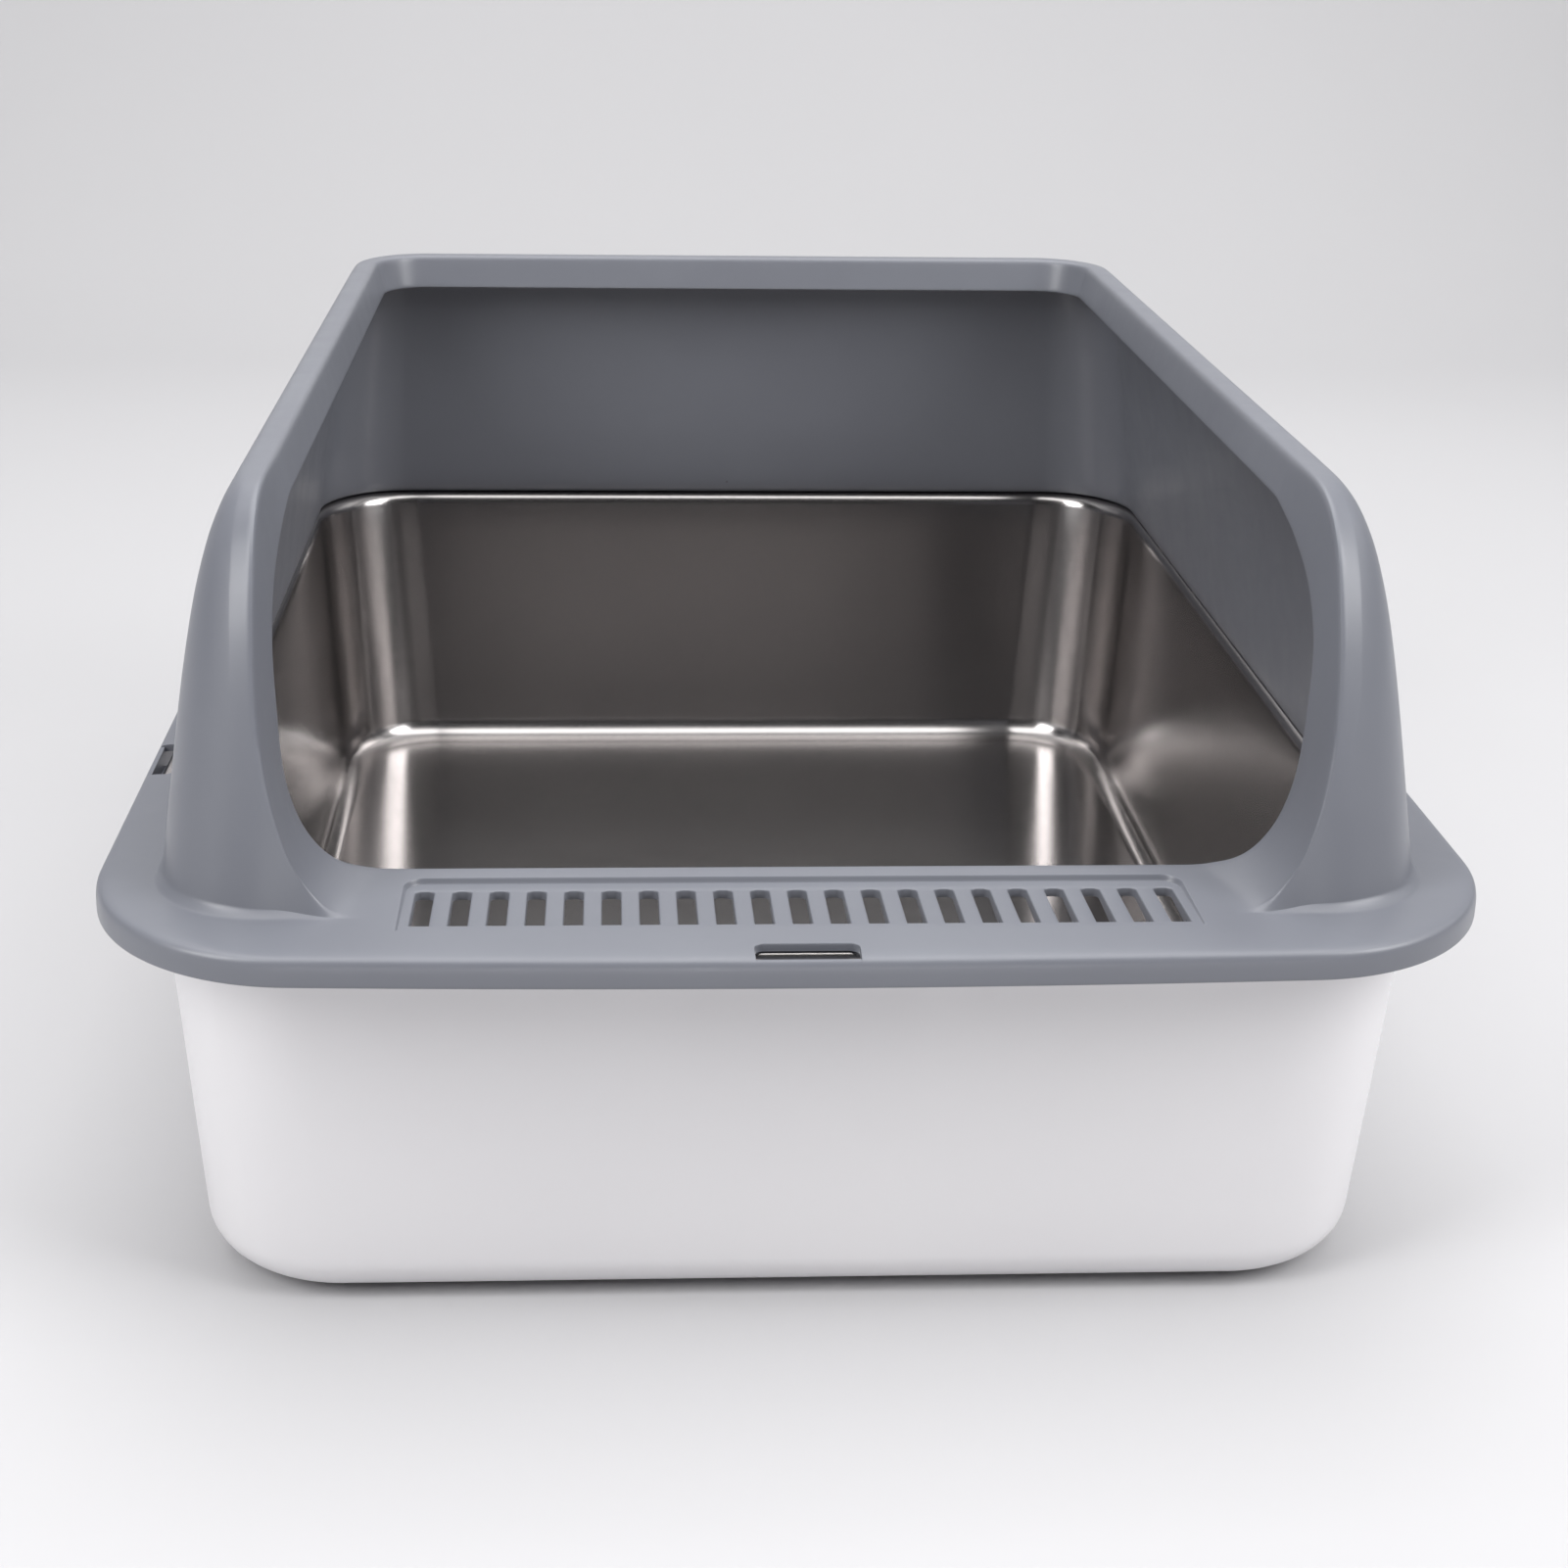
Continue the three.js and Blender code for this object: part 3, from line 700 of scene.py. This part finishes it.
def right_stations():
    stations = []
    for k in range(PLATFORM_STATIONS):
        across = k / PLATFORM_STATIONS
        stations.append(platform_station(across * crease_end_zone, across))
    for k in range(POST_STATIONS):
        share = k / POST_STATIONS
        stations.append(post_station(lerp(crease_end_zone, bend_zone, share), 1 - share))
    for k in range(SIDE_STATIONS):
        stations.append(wall_station(lerp(bend_zone, BACK_CORNER_ZONE, k / SIDE_STATIONS)))
    for k in range(BACK_CORNER_STATIONS):
        stations.append(wall_station(BACK_CORNER_ZONE + k / BACK_CORNER_STATIONS))
    for k in range(BACK_STATIONS + 1):
        stations.append(wall_station(BACK_ZONE + k / BACK_STATIONS))
    return stations


def outer_grid():
    """The outer face as an array of rings by stations by coordinates."""
    right = right_stations()
    mirror = np.array([-1, 1, 1])
    left = [[p * mirror for p in station] for station in right[-2:0:-1]]
    return np.array(right + left).transpose(1, 0, 2)


FOOT_ROW = 4
CREASE_ROW = -2


def corner_normals(grid):
    """Normals that weigh the faces round each vertex alike: sharp creases keep their wall."""
    rows, count, _ = grid.shape
    total = np.zeros_like(grid)
    following = np.roll(grid, -1, axis=1)
    for j in range(rows - 1):
        a, b, c, d = grid[j], following[j], following[j + 1], grid[j + 1]
        face = np.cross(c - a, d - b)
        total[j] += face
        total[j + 1] += face
        total[j] += np.roll(face, 1, axis=0)
        total[j + 1] += np.roll(face, 1, axis=0)
    return total / np.linalg.norm(total, axis=2, keepdims=True)


def supported(grid, row, before, after, reach=0.45):
    """The grid with a ring close to each side of one ring, which keeps a subdivided edge crisp.

    A support ring goes no further than reach, a share of the way to the next ring.
    """
    row = row % len(grid)
    ring = grid[row]

    def beside(other, distance):
        way = other - ring
        length = np.linalg.norm(way, axis=1, keepdims=True)
        return ring + way * np.minimum(distance / np.maximum(length, 1e-6), reach)

    parts = [grid[:row]]
    if before and row > 0:
        parts.append([beside(grid[row - 1], before)])
    parts.append([ring])
    if after and row < len(grid) - 1:
        parts.append([beside(grid[row + 1], after)])
    parts.append(grid[row + 1:])
    return np.concatenate([np.array(p) for p in parts if len(p)])


def surround_shell():
    outer = outer_grid()
    inner = outer - corner_normals(outer) * plastic_wall
    inner[FOOT_ROW, :, 2] = flange_under
    inner[FOOT_ROW + 1, :, 2] = flange_under
    crisp = supported(outer, len(outer) - 1, edge_crispness, 0)
    crisp = supported(crisp, len(outer) + CREASE_ROW, crease_round, crease_round)
    crisp = supported(crisp, FOOT_ROW + 1, 0, foot_crispness)
    crisp = supported(crisp, FOOT_ROW, foot_crispness, 0)
    crisp = supported(crisp, 0, 0, edge_crispness)
    inner = supported(inner, len(inner) - 1, edge_crispness, 0)
    inner = supported(inner, 0, 0, edge_crispness)
    rings = list(crisp) + list(inner[::-1])
    shell = loft_loop("surround_moulding", rings)
    subdivided(shell, levels=2)
    return shell


# Surround: grille

slot_rear = platform_edge - slot_margin
slot_front = slot_rear - slot_length
slots_each_side = int((entry_foot_half_width - grille_margin) // slot_pitch)
recess_half_width = slots_each_side * slot_pitch + slot_width / 2 + recess_side_gap
recess_rear = slot_rear + recess_rear_gap
recess_front = slot_front - recess_lead


def recess_level(y):
    return flange_top - recess_depth * (y - recess_front) / (recess_rear - recess_front)


def recess_cutter(steps=10):
    """The shallow recess round the slots, with a slope that starts and ends level."""
    rings = []
    for share in even_shares(steps):
        side = recess_half_width + recess_slope * share
        rear = recess_rear + recess_slope * share
        radius = lerp(recess_corner - recess_slope, recess_corner, share)
        outline = rounded_rear(-side, side, recess_front - overrun, rear, radius)
        steep = min(max((share - recess_rise_start) / recess_rise_run, 0), 1)
        rise = steep ** 2 * (3 - 2 * steep)
        ring = []
        for x, y in outline:
            ring.append((x, y, lerp(recess_level(min(y, recess_rear)), flange_top, rise)))
        rings.append(ring)
    rings.append([(x, y, flange_top + overrun) for x, y, _ in rings[-1]])
    return loft_capped("recess_cutter", rings)


def prism(name, outline, bottom, top):
    return loft_capped(name, [[(x, y, z) for x, y in outline] for z in (bottom, top)])


def grille_plate():
    side = recess_half_width + recess_slope
    rear = recess_rear + recess_slope
    outline = rounded_rear(-side, side, -foot_front, rear, recess_corner)
    return prism("grille_plate", outline, flange_under - recess_depth, flange_top - recess_depth)


def edge_profile(radius, segments=4):
    """Heights under an edge, and how far a cutter widens there, for a rounded edge."""
    steps = []
    for share in even_shares(segments):
        angle = share * QUARTER
        steps.append((radius * (math.sin(angle) - 1), radius * (1 - math.cos(angle))))
    return steps


def slot_cutter(x):
    under = flange_under - recess_depth

    def ring(grow, level):
        outline = rounded_rear(
            x - slot_width / 2 - grow,
            x + slot_width / 2 + grow,
            slot_front,
            slot_rear + grow,
            slot_corner + grow,
        )
        return [(px, py, level(py)) for px, py in outline]

    rings = [ring(0, lambda y: under - overrun)]
    for down, grow in edge_profile(slot_edge_round):
        rings.append(ring(grow, lambda y, down=down: recess_level(y) + down))
    rings.append(ring(slot_edge_round, lambda y: flange_top + overrun))
    return loft_capped("slot_cutter", rings)


# Surround: windows and catches, drawn at the front and turned to their places

end_edge = surround_high[1]


def window_places():
    places = []
    for turns in (0, 2):
        places.append((turns, 0, end_edge, bead_half_length, end_window_reach, end_window_length))
    for turns in (1, 3):
        for along in (-side_window_place, side_window_place):
            places.append((turns, along, skirt_half_width, bead_half_width,
                           side_window_reach, side_window_length))
    return places


def placed(piece, place):
    turn = Matrix.Rotation(place[0] * QUARTER, 4, "Z")
    piece.data.transform(turn @ Matrix.Translation((place[1] * MM, 0, 0)))
    return piece


def window_cutters(place):
    _, _, edge, _, reach, length = place

    def outline(front, grow=0.0):
        return rounded_rear(-length / 2 - grow, length / 2 + grow, front, reach - edge + grow,
                            window_corner + grow)

    inner_front = plastic_wall - edge
    rings = [[(x, y, skirt_under + plastic_wall) for x, y in outline(inner_front)]]
    for down, grow in edge_profile(window_edge_round):
        rings.append([(x, y, flange_top + down) for x, y in outline(inner_front, grow)])
    top = outline(inner_front, window_edge_round)
    rings.append([(x, y, flange_top + overrun) for x, y in top])
    through_cut = loft_capped("window_cutter", rings)
    notch_floor = flange_top - window_notch
    notch = prism("notch_cutter", outline(-edge - overrun), notch_floor, flange_top + overrun)
    return placed(through_cut, place), placed(notch, place)


def catch_piece(place):
    _, _, edge, bead, _, length = place
    top = bead_under - catch_lift
    in_skirt = edge - plastic_wall / 2
    tip = bead - catch_bite
    half = length / 2 - catch_margin
    profile = [(tip, top - catch_tip), (in_skirt, skirt_under), (in_skirt, top), (tip, top)]
    rings = [[(x, -d, z) for d, z in profile] for x in (-half, half)]
    return placed(loft_capped("catch", rings), place)


def fix_normals(piece):
    work = bmesh.new()
    work.from_mesh(piece.data)
    bmesh.ops.recalc_face_normals(work, faces=work.faces)
    work.to_mesh(piece.data)
    work.free()
    return piece


def make_surround():
    surround = fix_normals(surround_shell())
    combine(surround, fix_normals(grille_plate()), "UNION")
    combine(surround, fix_normals(recess_cutter()), "DIFFERENCE")
    for k in range(-slots_each_side, slots_each_side + 1):
        combine(surround, fix_normals(slot_cutter(k * slot_pitch)), "DIFFERENCE")
    for place in window_places():
        for cutter in window_cutters(place):
            combine(surround, fix_normals(cutter), "DIFFERENCE")
        combine(surround, fix_normals(catch_piece(place)), "UNION")
    return surround


# Materials

class Nodes:
    """A short way to write a node tree."""

    # A mix node has sockets of the same names for numbers and vectors: these are its colours.
    FIRST_COLOUR = 6
    SECOND_COLOUR = 7
    MIXED_COLOUR = 2

    def __init__(self, name):
        self.material = bpy.data.materials.new(name)
        self.material.use_nodes = True
        self.tree = self.material.node_tree
        self.shader = self.tree.nodes["Principled BSDF"]
        self.place = self.add("ShaderNodeTexCoord").outputs["Object"]

    def add(self, kind, **settings):
        node = self.tree.nodes.new(kind)
        for key, value in settings.items():
            if hasattr(node, key):
                setattr(node, key, value)
            else:
                node.inputs[key].default_value = value
        return node

    def link(self, source, target):
        self.tree.links.new(source, target)

    def stretched(self, x, y, z, source=None):
        mapping = self.add("ShaderNodeMapping")
        mapping.inputs["Scale"].default_value = (x, y, z)
        self.link(source or self.place, mapping.inputs["Vector"])
        return mapping.outputs["Vector"]

    def noise(self, scale, detail=2.0, roughness=0.5, vector=None):
        node = self.add("ShaderNodeTexNoise", Scale=scale, Detail=detail, Roughness=roughness)
        self.link(vector or self.place, node.inputs["Vector"])
        return node.outputs["Fac"]

    def remap(self, value, low, high, to_low, to_high):
        node = self.add("ShaderNodeMapRange")
        limits = {"From Min": low, "From Max": high, "To Min": to_low, "To Max": to_high}
        for key, number in limits.items():
            node.inputs[key].default_value = number
        self.link(value, node.inputs["Value"])
        return node.outputs["Result"]

    def mix(self, share, first, second):
        node = self.add("ShaderNodeMix", data_type="RGBA")
        self.link(share, node.inputs["Factor"])
        for number, value in ((self.FIRST_COLOUR, first), (self.SECOND_COLOUR, second)):
            socket = node.inputs[number]
            if hasattr(value, "is_linked"):
                self.link(value, socket)
            else:
                socket.default_value = (*value, 1)
        return node.outputs[self.MIXED_COLOUR]

    def specks(self, scale, size, keep):
        """Round specks: 1 in a speck, 0 elsewhere. keep is the share of cells that hold one."""
        cells = self.add("ShaderNodeTexVoronoi", Scale=scale)
        self.link(self.place, cells.inputs["Vector"])
        near = self.remap(cells.outputs["Distance"], size, size * 0.5, 0, 1)
        split = self.add("ShaderNodeSeparateColor")
        self.link(cells.outputs["Color"], split.inputs["Color"])
        chosen = self.add("ShaderNodeMath", operation="LESS_THAN")
        self.link(split.outputs[0], chosen.inputs[0])
        chosen.inputs[1].default_value = keep
        both = self.add("ShaderNodeMath", operation="MULTIPLY")
        self.link(near, both.inputs[0])
        self.link(chosen.outputs[0], both.inputs[1])
        return both.outputs[0]

    def bump(self, heights):
        """Bumps from (height, depth in metres) pairs, one on the other."""
        normal = None
        for height, depth in heights:
            node = self.add("ShaderNodeBump", Strength=1.0, Distance=depth)
            self.link(height, node.inputs["Height"])
            if normal:
                self.link(normal, node.inputs["Normal"])
            normal = node.outputs["Normal"]
        self.link(normal, self.shader.inputs["Normal"])

    def set(self, **values):
        for key, value in values.items():
            self.shader.inputs[key.replace("_", " ")].default_value = value


def satin_grey():
    n = Nodes("satin_grey_plastic")
    base = (0.156, 0.162, 0.187)
    paler = (0.164, 0.171, 0.196)
    pit = (0.09, 0.09, 0.1)
    dust = (0.55, 0.55, 0.55)
    clouds = n.remap(n.noise(14, detail=4), 0.35, 0.65, 0, 1)
    body = n.mix(clouds, base, paler)
    pits = n.mix(n.specks(55, 0.03, 0.06), body, pit)
    n.link(n.mix(n.specks(48, 0.022, 0.12), pits, dust), n.shader.inputs["Base Color"])
    n.link(n.remap(n.noise(60, detail=5), 0.3, 0.7, 0.32, 0.4), n.shader.inputs["Roughness"])
    scratches = n.noise(1, detail=1, vector=n.stretched(60, 900, 900))
    n.bump([
        (n.noise(1400, detail=2), 0.000006),
        (n.remap(scratches, 0.72, 0.8, 0, 1), 0.00001),
    ])
    n.set(IOR=1.5)
    return n.material


def gloss_white():
    n = Nodes("gloss_white_plastic")
    base = (0.74, 0.728, 0.745)
    paler = (0.76, 0.748, 0.763)
    stain = (0.5, 0.45, 0.4)
    clouds = n.remap(n.noise(9, detail=3), 0.35, 0.65, 0, 1)
    body = n.mix(clouds, base, paler)
    specks = n.mix(n.specks(60, 0.025, 0.05), body, stain)
    n.link(specks, n.shader.inputs["Base Color"])
    n.link(n.remap(n.noise(40, detail=4), 0.3, 0.7, 0.3, 0.38), n.shader.inputs["Roughness"])
    n.bump([(n.noise(260, detail=1), 0.000006)])
    n.set(IOR=1.5)
    return n.material


def brushed_steel():
    n = Nodes("brushed_steel")
    base = (0.47, 0.45, 0.446)
    paler = (0.51, 0.488, 0.481)
    dust = (0.9, 0.88, 0.84)
    wrap = n.add("ShaderNodeUVMap", uv_map="grain").outputs["UV"]
    grain = n.noise(1, detail=4, roughness=0.6, vector=n.stretched(25, 2600, 1, wrap))
    smudges = n.remap(n.noise(11, detail=4), 0.35, 0.7, 0, 1)
    body = n.mix(smudges, base, paler)
    n.link(n.mix(n.specks(45, 0.03, 0.03), body, dust), n.shader.inputs["Base Color"])
    n.link(n.remap(grain, 0.3, 0.7, 0.2, 0.24), n.shader.inputs["Roughness"])
    n.bump([(n.noise(14, detail=1), 0.00006)])
    tangent = n.add("ShaderNodeTangent", direction_type="UV_MAP", uv_map="grain")
    n.link(tangent.outputs["Tangent"], n.shader.inputs["Tangent"])
    n.set(Metallic=1.0, Anisotropic=0.8, Anisotropic_Rotation=0.25)
    return n.material


def soft_rubber():
    n = Nodes("dark_rubber")
    base = (0.05, 0.05, 0.053)
    paler = (0.085, 0.085, 0.09)
    n.link(n.mix(n.noise(300, detail=3), base, paler), n.shader.inputs["Base Color"])
    n.bump([(n.noise(1800, detail=2), 0.00003)])
    n.set(Roughness=0.85)
    return n.material


def grain_map(piece):
    """Texture coordinates in metres: round the walls, and straight across the flat faces."""
    mesh = piece.data
    layer = mesh.uv_layers.new(name="grain")
    flat_normal = 0.75
    for polygon in mesh.polygons:
        for index in polygon.loop_indices:
            x, y, z = mesh.vertices[mesh.loops[index].vertex_index].co
            if abs(polygon.normal.z) > flat_normal:
                layer.data[index].uv = (x, y)
            elif abs(polygon.normal.x) > abs(polygon.normal.y):
                layer.data[index].uv = (y * math.copysign(1, polygon.normal.x), z)
            else:
                layer.data[index].uv = (-x * math.copysign(1, polygon.normal.y), z)


# The pieces

def finish_piece(piece, node, body, material, degrees=40):
    piece.data.materials.clear()
    piece.data.materials.append(material)
    smooth_by_angle(piece, degrees)
    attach(piece, body)
    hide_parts(node)


surround = make_surround()
finish_piece(surround, "surround", "surround", satin_grey(), degrees=32)

pan = fix_normals(make_pan())
grain_map(pan)
finish_piece(pan, "steel_pan", "pan", brushed_steel())

pads = [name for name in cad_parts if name.startswith("foot_pad")]
tub = fix_normals(make_tub())
for name in pads:
    combine(tub, fix_normals(pad_socket_cutter(*node_box(name))), "DIFFERENCE")
finish_piece(tub, "outer_tub", "tub", gloss_white())

rubber = soft_rubber()
for name in pads:
    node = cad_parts[name]
    node.data.materials.clear()
    node.data.materials.append(rubber)


# The stage, in metres: a pale floor that curves up into a backdrop

def make_stage():
    half = 6.0
    front = 6.0
    back = 1.6
    rise = 3.0
    sweep = 0.6
    segments = 24
    profile = [(-front, 0.0), (back - sweep, 0.0)]
    for share in even_shares(segments)[1:]:
        angle = share * QUARTER
        profile.append((back - sweep + sweep * math.sin(angle), sweep * (1 - math.cos(angle))))
    profile.append((back, rise))
    vertices = [(x / MM, y / MM, z / MM) for y, z in profile for x in (-half, half)]
    faces = [(2 * k, 2 * k + 1, 2 * k + 3, 2 * k + 2) for k in range(len(profile) - 1)]
    stage = mesh_object("studio_floor", vertices, faces)
    n = Nodes("studio_paper")
    base = (0.5, 0.496, 0.507)
    paler = (0.52, 0.516, 0.527)
    n.link(n.mix(n.noise(3, detail=2), base, paler), n.shader.inputs["Base Color"])
    n.set(Roughness=0.9, Specular_IOR_Level=0.2)
    stage.data.materials.append(n.material)
    smooth_by_angle(stage, degrees=40)


make_stage()


# Lights: white, with lengths in metres and power in watts

def softbox(name, place, target, width, height, power, spread=180):
    light = bpy.data.lights.new(name, "AREA")
    light.shape = "RECTANGLE"
    light.size = width
    light.size_y = height
    light.energy = power
    light.spread = math.radians(spread)
    lamp = bpy.data.objects.new(name, light)
    lamp.location = place
    lamp.rotation_euler = (Vector(target) - Vector(place)).to_track_quat("-Z", "Y").to_euler()
    bpy.context.scene.collection.objects.link(lamp)


middle = (0, 0, 0.1)
softbox("overhead", (0, 0, 1.9), middle, 2.4, 2.0, 45)
softbox("overhead_back", (0, 1.1, 1.6), middle, 1.6, 0.9, 8)
softbox("right_high", (1.6, 0.3, 1.2), middle, 1.2, 1.2, 4)
softbox("right_front", (1.13, -0.64, 1.0), middle, 0.7, 0.9, 16)
softbox("left_front", (-1.05, -0.75, 1.0), middle, 0.55, 0.9, 14)
softbox("left_low", (-1.6, -0.7, 0.4), middle, 0.9, 0.7, 1.5)
softbox("front_low", (0, -1.8, 0.06), (0, 0, 0.06), 1.6, 0.1, 0.45, spread=50)

air_colour = (0.95, 0.97, 1.0)
air_strength = 0.03
world = bpy.data.worlds.new("studio_air")
world.use_nodes = True
air = world.node_tree.nodes["Background"]
air.inputs["Color"].default_value = (*air_colour, 1)
air.inputs["Strength"].default_value = air_strength
bpy.context.scene.world = world
bpy.context.scene.view_settings.view_transform = "Standard"


# The camera, solved from the photograph's edges; pixels are those of its 1601 frame

FRAME_PIXELS = 1601
FOCAL_PIXELS = 2456.11
CENTRE_X_PIXELS = 743.75
CENTRE_Y_PIXELS = 776.70
SENSOR = 36.0
camera_place = np.array([-48.05, -759.29, 256.35 + flange_top]) * MM
camera_yaw = 0.0524
camera_pitch = 0.3709
camera_roll = 0.016


def make_camera():
    forward = np.array([
        math.sin(camera_yaw) * math.cos(camera_pitch),
        math.cos(camera_yaw) * math.cos(camera_pitch),
        -math.sin(camera_pitch),
    ])
    level = np.array([math.cos(camera_yaw), -math.sin(camera_yaw), 0])
    upward = np.cross(level, forward)
    right = level * math.cos(camera_roll) + upward * math.sin(camera_roll)
    above = upward * math.cos(camera_roll) - level * math.sin(camera_roll)
    lens = bpy.data.cameras.new("camera")
    lens.sensor_fit = "HORIZONTAL"
    lens.sensor_width = SENSOR
    lens.lens = SENSOR * FOCAL_PIXELS / FRAME_PIXELS
    half = FRAME_PIXELS / 2
    lens.shift_x = (half - CENTRE_X_PIXELS) / FRAME_PIXELS
    lens.shift_y = (CENTRE_Y_PIXELS - half) / FRAME_PIXELS
    lens.clip_start = 0.01
    camera = bpy.data.objects.new("camera", lens)
    rows = [[right[i], above[i], -forward[i], camera_place[i]] for i in range(3)]
    camera.matrix_world = Matrix([*rows, [0, 0, 0, 1]])
    bpy.context.scene.collection.objects.link(camera)
    bpy.context.scene.camera = camera


make_camera()
